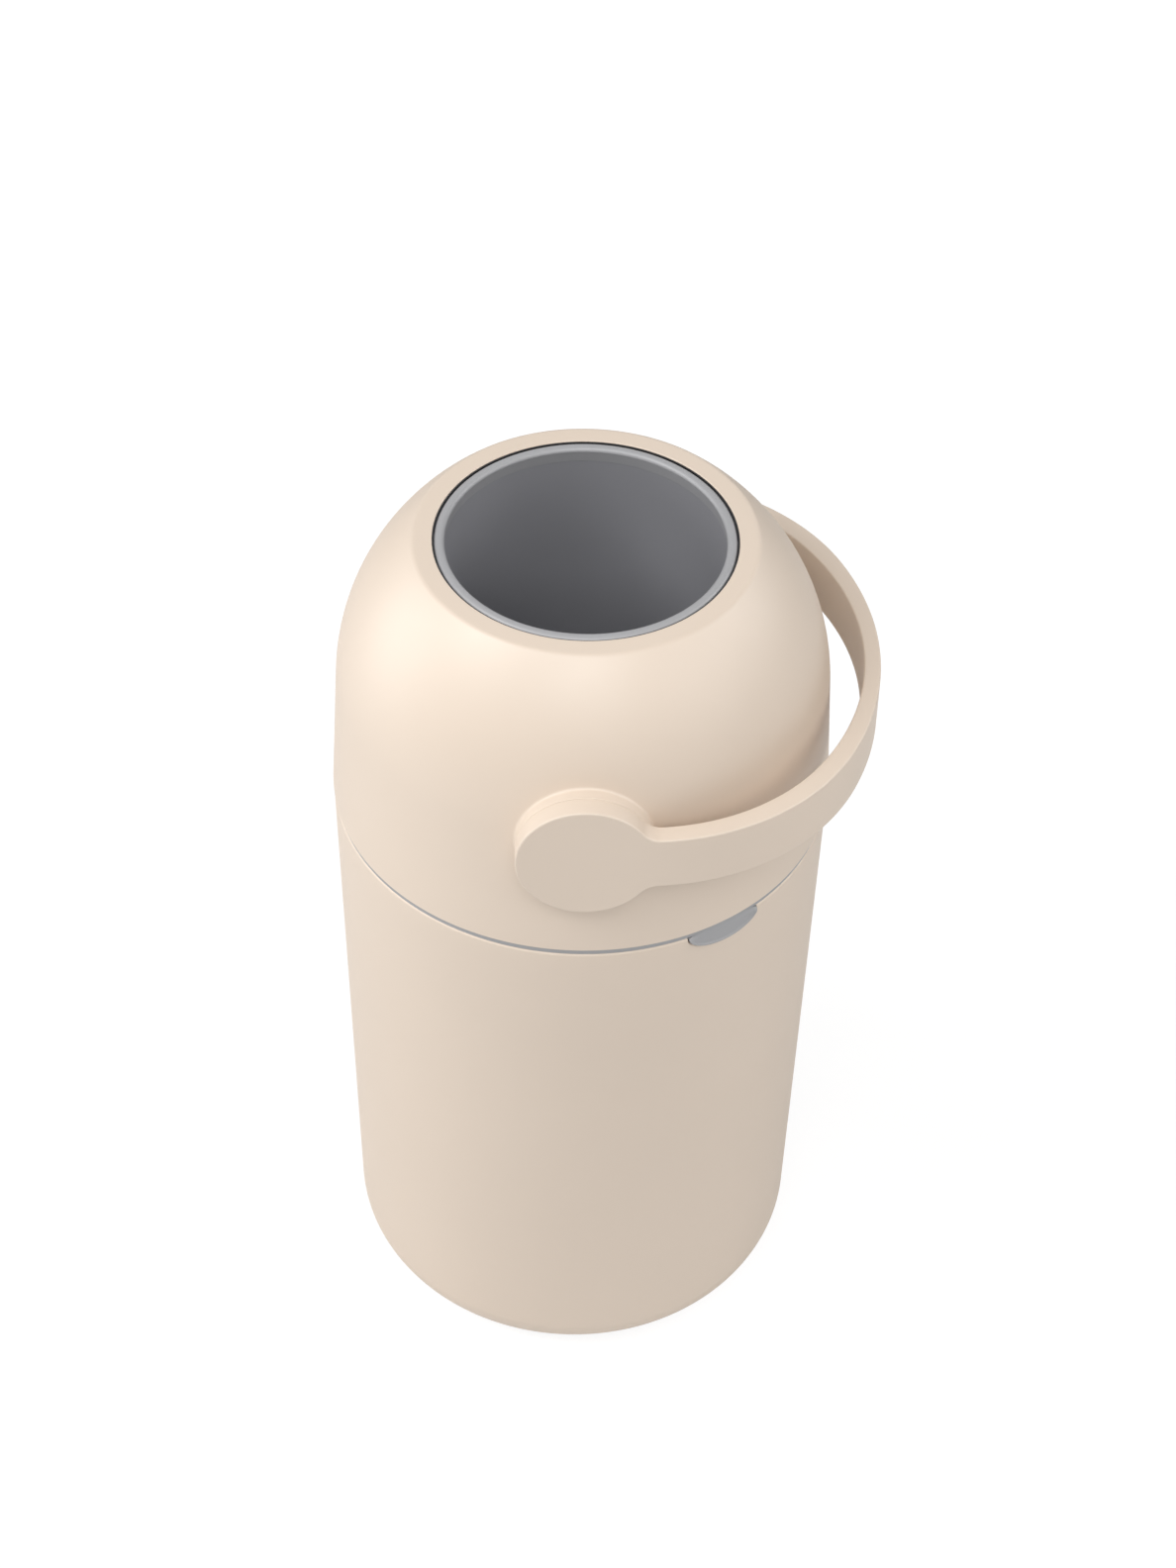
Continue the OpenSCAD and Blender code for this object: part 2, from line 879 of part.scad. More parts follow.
module stop_arc() {
    rotate([0, 0, stop_arc_start])
        rotate_extrude(angle = stop_arc_angle)
            translate([stop_in_r, pole_face - ball_wall / 2])
                square([stop_out_r - stop_in_r, ball_wall / 2 + 3.2]);
}

// one half of the ball, in front of the pivot's middle plane
module drum_half() {
    difference() {
        union() {
            intersection() {
                at_pivot() {
                    ball_shell();
                    tube_collars();
                    intersection() {
                        towers();
                        sphere(ball_r - ball_wall / 2);
                    }
                }
                translate([-far / 2, -far, 0])
                    cube([far, far, 2 * far]);
            }
            at_front() {
                socket_boss();
                stop_arc();
            }
        }
        at_pivot() {
            cylinder(h = far, r = collar_r, center = true);
            for (up = [0, 1])
                mirror([0, 0, up])
                    translate([0, 0, lip_seat])
                        cylinder(h = far, r = lip_outer_r + 0.4);
        }
        at_front() {
            flat_sided_hole(socket_end, far);
            cylinder(h = far, r = screw_r + fit_gap);
        }
    }
}

module at_towers() {
    for (x = [-tower_x, tower_x], h = [-tower_h, tower_h])
        at_front()
            translate([x, h, 0])
                children();
}

// the front half has the screws' heads, in wells
module drum_front() {
    color(grey)
        difference() {
            drum_half();
            at_towers() {
                translate([0, 0, -1])
                    cylinder(h = far, r = screw_r + screw_gap);
                translate([0, 0, tower_seat])
                    cylinder(h = far, r = screw_head_r + screw_gap);
            }
        }
}

// the rear half has the pilot holes
module drum_rear() {
    color(grey)
        difference() {
            mirror([0, 1, 0])
                drum_half();
            at_towers()
                translate([0, 0, -screw_bite - 1])
                    cylinder(h = screw_bite + 2, r = screw_r + fit_gap);
        }
}

module drum_screws() {
    color(steel)
        at_towers()
            translate([0, 0, tower_seat])
                mirror([0, 0, 1])
                    screw(tower_seat + screw_bite);
}

module nappy_tube() {
    color(dark_grey)
        at_pivot()
            translate([0, 0, -lip_seat])
                ring(tube_r + tube_wall, tube_r, 2 * lip_seat);
}

module lip_profile() {
    difference() {
        union() {
            translate([lip_r, lip_seat])
                square([lip_outer_r - lip_r, lip_h]);
            translate([lip_r, lip_end])
                square([lip_in - fit_gap, lip_skirt_h + 1]);
        }
        translate([lip_outer_r, lip_top])
            corner(lip_round_r);
        translate([lip_r, lip_top])
            mirror([1, 0])
                corner(lip_round_r);
    }
}

module lip_ring() {
    color(grey)
        at_pivot()
            rotate_extrude()
                lip_profile();
}

module upper_lip_ring() {
    lip_ring();
}

module lower_lip_ring() {
    color(grey)
        at_pivot()
            mirror([0, 0, 1])
                rotate_extrude()
                    lip_profile();
}

// a round shaft with flats at both ends and a bore for the screw
module axle() {
    color(acetal_white)
        difference() {
            translate([0, 0, socket_end])
                cylinder(h = axle_end - socket_end, r = axle_r);
            for (y = [axle_flats / 2, -axle_flats / 2 - far]) {
                translate([-far / 2, y, socket_end - 1])
                    cube([far, far, drum_face - socket_end + 1]);
                translate([-far / 2, y, hub_in])
                    cube([far, far, far]);
            }
            cylinder(h = far, r = screw_r + screw_gap);
            translate([0, 0, axle_end - hub_post_len])
                cylinder(h = far, r = hub_post_r + fit_gap);
        }
}

module axle_front() {
    at_front()
        axle();
}

module axle_rear() {
    at_rear()
        axle();
}

// long screws from inside the drum that draw hub, axle and drum together
module axle_screw() {
    translate([0, 0, socket_end - socket_wall])
        screw(axle_end - socket_end + socket_wall - 3);
}

module axle_screws() {
    color(steel) {
        at_front()
            axle_screw();
        at_rear()
            axle_screw();
    }
}

// ---- handle ----

// section of one layer of the bail, between the radii r - layer_t and r
module bail_section(r, inset) {
    translate([r - layer_t + inset, inset - bail_w / 2])
        rounded_rect(layer_t - 2 * inset, bail_w - 2 * inset, handle_round_r);
}

// half of one layer, with the arm's face at y and depth outside the layer's face
module bail_half(y, depth, inset, end_a) {
    translate([arm_len, corner_y, 0])
        difference() {
            rotate_extrude(angle = 90)
                bail_section(y - corner_y + depth, inset);
            rotate([0, 0, end_a])
                translate([0, -far, -bail_w])
                    cube([far, far, 2 * bail_w]);
        }
    rotate([90, 0, 90])
        linear_extrude(arm_len)
            bail_section(y + depth, inset);
}

// one layer, whose outline runs through y at the arms and through reach at the end
module bail_layer(y, reach, depth, inset) {
    over = end_over(y, reach);
    end_a = asin(corner_y / over);
    end_r = y - corner_y + over;
    for (side = [0, 1])
        mirror([0, side, 0])
            bail_half(y, depth, inset, end_a);
    translate([reach - end_r, 0, 0])
        rotate([0, 0, -end_a - bail_lap])
            rotate_extrude(angle = 2 * (end_a + bail_lap))
                bail_section(end_r + depth, inset + bail_lap_in);
}

module bail() {
    bail_layer(hub_out, bail_out, 0, 0);
    bail_layer(hub_in + arm_inset, bail_in, layer_t, bail_lap_in);
}

module hub_disc() {
    rotate_extrude()
        difference() {
            translate([0, hub_in])
                square([hub_r, hub_t]);
            translate([hub_r, hub_out])
                corner(handle_round_r);
        }
}

// fills the two hollows between the hub and the arm's edges
module arm_roots() {
    up = bail_w / 2 + root_round_r;
    x = sqrt((hub_r + root_round_r) ^ 2 - up ^ 2);
    touch = [x, up] * hub_r / (hub_r + root_round_r);
    for (side = [0, 1])
        mirror([0, side, 0])
            translate([0, 0, hub_in + 1.1 * handle_round_r])
                linear_extrude(hub_t - 2.1 * handle_round_r)
                    difference() {
                        polygon([[touch[0] - 2, up - root_round_r - 2], touch, [x, up], [x, up - root_round_r - 2]]);
                        translate([x, up])
                            circle(root_round_r);
                    }
}

module hub_inside() {
    difference() {
        union() {
            translate([0, 0, hub_in])
                cylinder(h = hub_t - 1, r = axle_r + socket_wall);
            for (i = [0:5])
                rotate([0, 0, 30 + i * 60])
                    translate([axle_r, -1, hub_in + 2])
                        cube([hub_r - hub_wall / 2 - axle_r, 2, hub_t - 3]);
        }
        flat_sided_hole(hub_in - 1, axle_end);
    }
    difference() {
        translate([0, 0, axle_end - hub_post_len])
            cylinder(h = hub_post_len + 1, r = hub_post_r);
        cylinder(h = axle_end - 2, r = screw_r + fit_gap);
    }
}

module handle() {
    color(cream) {
        difference() {
            union() {
                at_pivot()
                    bail();
                at_front() {
                    hub_disc();
                    arm_roots();
                }
                at_rear() {
                    hub_disc();
                    arm_roots();
                }
            }
            at_front()
                cylinder(h = hub_out - hub_wall, r = hub_r - hub_wall);
            at_rear()
                cylinder(h = hub_out - hub_wall, r = hub_r - hub_wall);
        }
        at_front()
            hub_inside();
        at_rear()
            hub_inside();
    }
}

// ---- piston ----

module at_piston() {
    translate([0, 0, pivot_z + piston_low])
        children();
}

module piston_wall_profile() {
    difference() {
        translate([piston_r - piston_wall, piston_face_t])
            square([piston_wall, piston_h - piston_face_t]);
        for (z = [wiper_inset, piston_h - wiper_inset - wiper_h])
            translate([groove_r, z])
                square([piston_wall, wiper_h]);
        translate([piston_r, piston_h])
            corner(piston_round_r);
    }
    translate([0, piston_h - piston_face_t])
        square([piston_r - piston_wall + 1, piston_face_t]);
}

module piston_cup() {
    color(grey)
        at_piston()
            difference() {
                union() {
                    rotate_extrude()
                        piston_wall_profile();
                    around(piston_screw_n, piston_screw_circle_r)
                        translate([0, 0, piston_face_t])
                            cylinder(h = piston_h - piston_face_t - 1, r = screw_r + 2.6);
                }
                around(piston_screw_n, piston_screw_circle_r)
                    translate([0, 0, piston_face_t - 1])
                        cylinder(h = screw_bite + 2, r = screw_r + fit_gap);
            }
}

module piston_cover() {
    color(grey)
        at_piston()
            difference() {
                rotate_extrude() {
                    difference() {
                        square([piston_r, piston_face_t]);
                        translate([piston_r, 0])
                            mirror([0, 1])
                                corner(piston_round_r);
                    }
                    // rib that centres the steel weight
                    translate([weight_r + fit_gap, piston_face_t - eps])
                        square([1.6, 4]);
                }
                around(piston_screw_n, piston_screw_circle_r) {
                    translate([0, 0, -1])
                        cylinder(h = piston_face_t + 2, r = screw_r + screw_gap);
                    translate([0, 0, -1])
                        cylinder(h = 1 + piston_face_t / 2, r = screw_head_r + screw_gap);
                }
            }
}

module piston_weight() {
    color(steel)
        at_piston()
            translate([0, 0, piston_face_t])
                cylinder(h = weight_t, r = weight_r);
}

module wiper(z) {
    color(seal_black)
        at_piston()
            translate([0, 0, z + fit_gap])
                ring(wiper_r, groove_r + fit_gap, wiper_h - 2 * fit_gap);
}

module upper_wiper() {
    wiper(piston_h - wiper_inset - wiper_h);
}

module lower_wiper() {
    wiper(wiper_inset);
}

module piston_screws() {
    sunk = piston_face_t / 2;
    color(steel)
        at_piston()
            around(piston_screw_n, piston_screw_circle_r) {
                translate([0, 0, 0.1])
                    cylinder(h = sunk - 0.1, r = screw_head_r);
                translate([0, 0, sunk])
                    cylinder(h = sunk + screw_bite, r = screw_r);
            }
}

bucket();
base_pads();
bag_ring();
ring_gasket();
dome();
upper_seal();
head_base();
lower_seal();
base_screws();
bush_front();
bush_rear();
drum_front();
drum_rear();
drum_screws();
nappy_tube();
upper_lip_ring();
lower_lip_ring();
axle_front();
axle_rear();
axle_screws();
handle();
piston_cup();
piston_cover();
piston_weight();
upper_wiper();
lower_wiper();
piston_screws();
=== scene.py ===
import math

import bmesh
import bpy
import numpy as np
from mathutils import Matrix, Vector


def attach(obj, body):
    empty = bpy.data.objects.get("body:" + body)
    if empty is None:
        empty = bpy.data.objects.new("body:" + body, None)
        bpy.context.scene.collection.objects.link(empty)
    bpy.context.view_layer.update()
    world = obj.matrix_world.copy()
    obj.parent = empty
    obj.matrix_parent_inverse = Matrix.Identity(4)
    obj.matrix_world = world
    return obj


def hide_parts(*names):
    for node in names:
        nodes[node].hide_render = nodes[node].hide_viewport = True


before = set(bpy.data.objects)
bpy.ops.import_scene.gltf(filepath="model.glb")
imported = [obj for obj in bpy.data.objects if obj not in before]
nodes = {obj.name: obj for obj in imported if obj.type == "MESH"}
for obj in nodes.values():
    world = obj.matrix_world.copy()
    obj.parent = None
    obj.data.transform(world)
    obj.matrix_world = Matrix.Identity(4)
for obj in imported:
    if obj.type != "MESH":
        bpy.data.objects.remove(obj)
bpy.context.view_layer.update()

mm = 0.001


# ---------- mesh helpers; every shape is worked out in millimetres ----------

def quadsOf(rows, columns, closeRows, closeColumns, start):
    # each quad joins point (i, j) of the grid to (i+1, j), (i+1, j+1) and (i, j+1)
    i = np.arange(rows if closeRows else rows - 1)[:, None]
    j = np.arange(columns if closeColumns else columns - 1)[None, :]
    iNext, jNext = (i + 1) % rows, (j + 1) % columns
    quads = np.stack([i * columns + j, iNext * columns + j, iNext * columns + jNext, i * columns + jNext], -1)
    return quads.reshape(-1, 4) + start


def makePiece(name, grids, body, replaced, material, sharpDegrees=38):
    # grids is a list of (points of shape (rows, columns, 3), closeRows, closeColumns)
    points, quads, start = [], [], 0
    for grid, closeRows, closeColumns in grids:
        rows, columns = grid.shape[:2]
        points.append(grid.reshape(-1, 3) * mm)
        quads.append(quadsOf(rows, columns, closeRows, closeColumns, start))
        start += rows * columns
    mesh = bpy.data.meshes.new(name)
    mesh.from_pydata(np.concatenate(points).tolist(), [], np.concatenate(quads).tolist())
    work = bmesh.new()
    work.from_mesh(mesh)
    bmesh.ops.remove_doubles(work, verts=work.verts, dist=2e-6)
    bmesh.ops.dissolve_degenerate(work, edges=work.edges, dist=1e-6)
    bmesh.ops.recalc_face_normals(work, faces=work.faces)
    openEdges = sum(1 for edge in work.edges if len(edge.link_faces) != 2)
    work.to_mesh(mesh)
    work.free()
    mesh.shade_smooth()
    mesh.set_sharp_from_angle(angle=math.radians(sharpDegrees))
    piece = bpy.data.objects.new(name, mesh)
    bpy.context.scene.collection.objects.link(piece)
    mesh.materials.append(material)
    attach(piece, body)
    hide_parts(*replaced)
    print(f"{name}: {len(mesh.polygons)} faces, {openEdges} open edges")


def roundedLine(corners, steps=6, lead=0.25):
    # a line through corners (x, y, r): each corner is an arc of radius r that touches both sides,
    # with one more point at the distance lead before and after it; a corner with r = 0 stays sharp
    at = np.array([c[:2] for c in corners], float)
    line = []
    for i, (x, y, r) in enumerate(corners):
        if r <= 0 or i in (0, len(corners) - 1):
            line.append(at[i])
            continue
        back, ahead = at[i - 1] - at[i], at[i + 1] - at[i]
        back, ahead = back / np.linalg.norm(back), ahead / np.linalg.norm(ahead)
        half = math.acos(np.clip(back @ ahead, -1, 1)) / 2
        reach = r / math.tan(half)
        centre = at[i] + (back + ahead) / np.linalg.norm(back + ahead) * r / math.sin(half)
        first, last = at[i] + back * reach - centre, at[i] + ahead * reach - centre
        a = math.atan2(first[1], first[0])
        turn = (math.atan2(last[1], last[0]) - a + math.pi) % (2 * math.pi) - math.pi
        angles = a + turn * np.linspace(0, 1, steps + 1)
        line.append(centre + first + back * lead)
        line.extend(centre + r * np.stack([np.cos(angles), np.sin(angles)], -1))
        line.append(centre + last + ahead * lead)
    return np.array(line)


def closer(line, step):
    # the same line with points added so that none is further than step from the next
    out = [line[:1]]
    for a, b in zip(line[:-1], line[1:]):
        n = max(1, math.ceil(np.linalg.norm(b - a) / step))
        out.append(a + (b - a) * (np.arange(1, n + 1) / n)[:, None])
    return np.concatenate(out)


def revolved(profile, angles, height=0.0):
    # point (i, j) is profile point i, at distance r and height z, turned by angle j round the Z axis
    r, z = profile[:, 0][:, None], profile[:, 1][:, None]
    return np.stack([r * np.cos(angles), r * np.sin(angles), z + height + 0 * angles], -1)


def fullTurn(n):
    return np.linspace(0, 2 * math.pi, n, endpoint=False)


# ---------- materials ----------

plastics = {
    "creamShell": dict(color=(0.716, 0.601, 0.494), roughness=0.46, grain=0.020, grainSize=0.45, drift=0.02),
    "greyTrim": dict(color=(0.330, 0.330, 0.340), roughness=0.44, grain=0.03, grainSize=0.4, drift=0.03),
    "greyInner": dict(color=(0.285, 0.285, 0.30), roughness=0.5, grain=0.04, grainSize=0.5, drift=0.03),
    # the tube's grey is the greyTrim plastic made darker: painted shade for the inside of the deep tube
    "shadedTubeGrey": dict(color=(0.262, 0.262, 0.280), roughness=0.40, grain=0.02, grainSize=0.5, drift=0.03),
    "acetal": dict(color=(0.80, 0.78, 0.73), roughness=0.30, grain=0.01, grainSize=0.8, drift=0.02),
}


def addNode(tree, kind, **values):
    node = tree.nodes.new(kind)
    for key, value in values.items():
        if hasattr(node, key):
            setattr(node, key, value)
        else:
            node.inputs[key].default_value = value
    return node


def newMaterial(name):
    material = bpy.data.materials.new(name)
    material.use_nodes = True
    tree = material.node_tree
    tree.nodes.clear()
    output = tree.nodes.new("ShaderNodeOutputMaterial")
    shader = tree.nodes.new("ShaderNodeBsdfPrincipled")
    tree.links.new(shader.outputs["BSDF"], output.inputs["Surface"])
    place = tree.nodes.new("ShaderNodeTexCoord")
    return material, tree, shader, place.outputs["Object"]


def noise(tree, place, scale, detail=2.0, roughness=0.5):
    node = tree.nodes.new("ShaderNodeTexNoise")
    node.inputs["Scale"].default_value = scale
    node.inputs["Detail"].default_value = detail
    node.inputs["Roughness"].default_value = roughness
    tree.links.new(place, node.inputs["Vector"])
    return node.outputs["Fac"]


def spread(tree, value, low, high):
    # turns 0..1 into low..high
    node = tree.nodes.new("ShaderNodeMapRange")
    node.inputs["To Min"].default_value = low
    node.inputs["To Max"].default_value = high
    tree.links.new(value, node.inputs["Value"])
    return node.outputs["Result"]


def tint(tree, value, color, drift):
    # color made darker and lighter by drift as value goes from 0 to 1
    node = tree.nodes.new("ShaderNodeMix")
    node.data_type = "RGBA"
    node.inputs["A"].default_value = (*[c * (1 - drift) for c in color], 1)
    node.inputs["B"].default_value = (*[min(1, c * (1 + drift)) for c in color], 1)
    tree.links.new(value, node.inputs["Factor"])
    return node.outputs["Result"]


def bump(tree, shader, height, depth, strength):
    node = tree.nodes.new("ShaderNodeBump")
    node.inputs["Strength"].default_value = strength
    node.inputs["Distance"].default_value = depth
    tree.links.new(height, node.inputs["Height"])
    tree.links.new(node.outputs["Normal"], shader.inputs["Normal"])


def mouldedPlastic(name, color, roughness, grain, grainSize, drift):
    # satin plastic: fine mould grain, a slow drift of colour and of gloss
    material, tree, shader, place = newMaterial(name)
    fine = noise(tree, place, 1000 / grainSize, 3.0, 0.6)
    slow = noise(tree, place, 9.0, 2.0)
    cloudy = noise(tree, place, 38.0, 3.0)
    tree.links.new(tint(tree, slow, color, drift), shader.inputs["Base Color"])
    tree.links.new(spread(tree, cloudy, roughness - 0.05, roughness + 0.05), shader.inputs["Roughness"])
    shader.inputs["IOR"].default_value = 1.48
    shader.inputs["Specular IOR Level"].default_value = 1.0
    bump(tree, shader, fine, grain * mm, 0.5)
    return material


def rubber(name, color=(0.022, 0.022, 0.024), drift=0.15, matt=(0.62, 0.80), grain=0.05):
    material, tree, shader, place = newMaterial(name)
    fine = noise(tree, place, 1500, 4.0, 0.7)
    slow = noise(tree, place, 20.0)
    tree.links.new(tint(tree, slow, color, drift), shader.inputs["Base Color"])
    tree.links.new(spread(tree, fine, *matt), shader.inputs["Roughness"])
    bump(tree, shader, fine, grain * mm, 0.6)
    return material


def zincSteel(name, color=(0.62, 0.63, 0.65), drift=0.08, satin=(0.24, 0.40), grain=0.02):
    material, tree, shader, place = newMaterial(name)
    fine = noise(tree, place, 900, 3.0, 0.6)
    slow = noise(tree, place, 60.0, 2.0)
    tree.links.new(tint(tree, slow, color, drift), shader.inputs["Base Color"])
    tree.links.new(spread(tree, fine, *satin), shader.inputs["Roughness"])
    shader.inputs["Metallic"].default_value = 1.0
    bump(tree, shader, fine, grain * mm, 0.4)
    return material


finishes = {name: mouldedPlastic(name, **values) for name, values in plastics.items()}
finishes["rubberSeal"] = rubber("rubberSeal")
finishes["zincSteel"] = zincSteel("zincSteel")
print("finishes made:", len(finishes))


# ---------- bucket ----------

bucket = dict(height=368.6, rimRadius=139.5, footRadius=133.0, footRound=32.0, wall=2.8, rimBand=6.0,
              rimRound=1.6, innerRim=0.35, standWidth=15.0, bossRadius=18.0, recess=2.5, floor=3.0, lift=0.15,
              ribs=8, ribWidth=2.4, ribBite=1.0, columns=224)
tab = dict(angle=-56.3, halfWidth=22.6, drop=10.4, side=0.4, gap=0.6, over=3.3, proud=0.05, inset=13.0, fade=2.2)


def bucketOuter(z):
    # radius of the outer wall: a straight taper up to the upright band below the rim
    b = bucket
    share = (z - b["footRound"]) / (b["height"] - b["rimBand"] - b["footRound"])
    return b["footRadius"] + (b["rimRadius"] - b["footRadius"]) * np.clip(share, 0, 1)


def notchColumns(grow, steps, radius):
    # columns across the tab at half-width times cos(a); their depth below the rim is half an ellipse
    a = np.linspace(0, math.pi, steps)
    half = tab["halfWidth"] + grow
    turn = math.radians(tab["angle"]) - np.arcsin(half * np.cos(a) / radius)
    depth = tab["side"] + (tab["drop"] - tab["side"] + grow) * np.sin(a)
    return turn, depth


def bucketGrid():
    # columns go round the Z axis; rows go from the middle of the underside up the wall, over the rim
    # and down inside to the middle of the floor
    b = bucket
    notch, depth = notchColumns(tab["gap"], 40, b["rimRadius"])
    rest = np.linspace(notch[-1], notch[0] + 2 * math.pi, b["columns"])
    angles = np.concatenate([notch, rest])
    top = b["height"] - np.concatenate([depth, np.zeros(len(rest))])[None, :]
    stand = b["footRadius"] - b["footRound"]
    ringIn = stand - b["standWidth"]
    under = closer(roundedLine([
        (0, b["lift"], 0), (b["bossRadius"], b["lift"], 0.5), (b["bossRadius"], b["recess"], 0.4),
        (ringIn, b["recess"], 0.4), (ringIn, b["lift"], 0.5), (stand, b["lift"], 0)], 3), 12)
    a = np.radians(np.linspace(-90, 0, 26))[1:]
    foot = np.stack([stand + b["footRound"] * np.cos(a), b["footRound"] + b["footRound"] * np.sin(a)], -1)
    foot[:, 1] = np.maximum(foot[:, 1], b["lift"])
    below = np.concatenate([under, foot])
    inRound = b["footRound"] - b["wall"]
    floorTop = b["recess"] + b["floor"]
    a = np.radians(np.linspace(0, -90, 16))[1:]
    floorDrop = b["footRound"] - floorTop
    inner = np.stack([stand + inRound * np.cos(a), b["footRound"] + floorDrop * np.sin(a)], -1)
    inner = np.concatenate([inner, [[stand * 0.5, floorTop], [0, floorTop]]])
    flat = np.ones_like(top)
    up = np.linspace(0, 1, 34)[1:, None]
    zWall = b["footRound"] + (top - b["rimRound"] - b["footRound"]) * up
    rWall = bucketOuter(zWall)
    arc = np.radians(np.linspace(0, 90, 9))[1:, None]
    rRim = bucketOuter(top) - b["rimRound"] + b["rimRound"] * np.cos(arc)
    zRim = top - b["rimRound"] + b["rimRound"] * np.sin(arc)
    back = np.array([[b["innerRim"], 0.0], [0.1, 0.1], [0.0, b["innerRim"]]])
    rLip = bucketOuter(top) - b["wall"] + back[:, :1]
    zLip = top - back[:, 1:]
    zIn = b["footRound"] + (top - b["innerRim"] - b["footRound"]) * np.linspace(1, 0, 24)[1:, None]
    rIn = bucketOuter(zIn) - b["wall"]
    r = np.concatenate([below[:, :1] * flat, rWall, rRim, rLip, rIn, inner[:, :1] * flat])
    z = np.concatenate([below[:, 1:] * flat, zWall, zRim, zLip, zIn, inner[:, 1:] * flat])
    return np.stack([r * np.cos(angles), r * np.sin(angles), z], -1)


def bar(length, width, height, rounding):
    # a bar along X: a rounded outline of its width and height, carried along and closed at both ends
    half = width / 2
    line = roundedLine([(0, 0, 0), (half, 0, rounding), (half, height, rounding), (-half, height, rounding),
                        (-half, 0, rounding), (0, 0, 0)], 3, 0.1)[:-1]
    middle = line * 0 + np.array([0, height / 2])
    loops = ((0, middle), (0, line), (length, line), (length, middle))
    return np.stack([np.concatenate([np.full((len(line), 1), x), loop], -1) for x, loop in loops])


def turned(points, angle):
    # points turned by angle round the Z axis
    c, s = math.cos(angle), math.sin(angle)
    return points @ np.array([[c, s, 0], [-s, c, 0], [0, 0, 1]])


def bucketGrids():
    # each rib reaches ribBite into the standing ring, the centre boss and the floor
    b, bite = bucket, bucket["ribBite"]
    stand = b["footRadius"] - b["footRound"]
    rib = bar(stand - b["standWidth"] - b["bossRadius"] + 2 * bite, b["ribWidth"], b["recess"] + bite, 0.5)
    rib = rib + np.array([b["bossRadius"] - bite, 0, b["lift"]])
    ribs = [(turned(rib, k * 2 * math.pi / b["ribs"]), False, True) for k in range(b["ribs"])]
    return [(bucketGrid(), False, True)] + ribs


makePiece("bucketShell", bucketGrids(), "bucket", ["bucket"], finishes["creamShell"])


# ---------- bag ring ----------

band = dict(height=4.0, radius=139.05, topRound=0.9, lowRound=0.6, bore=132.67, skirt=134.67, skirtLength=38.0,
            bead=1.2, beadHeight=3.2, beadTop=4.4, groove=1.6, grooveIn=134.94, grooveOut=137.43)


def bagRingGrid():
    # one closed outline of skirt, band and gasket groove, turned round the Z axis
    b, low, top = band, bucket["height"], bucket["height"] + band["height"]
    foot, beadRadius, grooveFloor = low - b["skirtLength"], b["bore"] - b["bead"], top - b["groove"]
    line = roundedLine([
        (b["bore"], low - 10, 0), (b["bore"], foot + b["beadTop"], 0.4), (beadRadius, foot + b["beadHeight"], 0.4),
        (beadRadius, foot, 0.8), (b["skirt"], foot, 0.8), (b["skirt"], low, 0.4),
        (b["radius"], low, b["lowRound"]), (b["radius"], top, b["topRound"]),
        (b["grooveOut"], top, 0.2), (b["grooveOut"], grooveFloor, 0.2),
        (b["grooveIn"], grooveFloor, 0.2), (b["grooveIn"], top, 0.2),
        (b["bore"], top, 0.4), (b["bore"], low - 10, 0)], 4, 0.2)[:-1]
    return revolved(closer(line, 10), fullTurn(288))


def tabGrid():
    # rows run in from the tab's outline towards a line near the band's top,
    # columns run round the outline from end to end
    t, low = tab, bucket["height"]
    across, depth = notchColumns(0, 48, band["radius"])
    middle = math.radians(t["angle"])
    lip = np.array([  # how far in from the outline, and how far the face stands out of the band
        (0.0, -2.6), (0.0, 1.3), (0.1, 1.7), (0.35, 2.05), (0.7, 2.15), (1.0, 2.05), (1.5, 1.5), (1.9, 1.35),
        (2.6, 1.22)])
    inset = np.concatenate([lip[:, 0], np.linspace(3.4, t["inset"], 13)])
    rise = np.concatenate([lip[:, 1], np.linspace(1.1, t["proud"], 13)])
    share = (1 - inset / (t["drop"] + t["over"]))[:, None]
    turn = middle + (across - middle)[None, :] * (1 - inset / t["halfWidth"])[:, None]
    z = low + t["over"] - (depth[None, :] + t["over"]) * share
    # above the band's lower edge the face stays just proud of the band; below it, it rises to the lip
    fade = np.clip((low + 0.2 - z) / t["fade"], 0, 1)
    face = np.where(rise[:, None] > 0, t["proud"] + (rise[:, None] - t["proud"]) * fade, rise[:, None])
    r = band["radius"] + face
    return np.stack([r * np.cos(turn), r * np.sin(turn), z], -1)


def tabGrids():
    front = tabGrid()
    back, last = front[:1], front[-1:]
    inner = np.concatenate([back, back * 0 + back.mean(1, keepdims=True)])
    closing = np.concatenate([last, last * 0 + last.mean(1, keepdims=True)])
    return [(front, False, True), (inner, False, True), (closing, False, True)]


makePiece("bagRing", [(bagRingGrid(), True, True)] + tabGrids(), "ring", ["bag_ring"],
          finishes["greyTrim"])


# ---------- dome ----------

dome = dict(base=372.6, edgeRadius=140.0, radius=136.1, centre=72.0, height=171.5, landRound=4.0,
            opening=82.0, openingRound=0.5, edgeThick=1.2, slope=2.5, wall=3.0, pivot=75.0,
            bossRadius=36.8, bossFace=137.0, bossRound=0.4, fillet=1.6, bore=17.31, sleeve=20.86, sleeveEnd=124.0,
            columns=320)


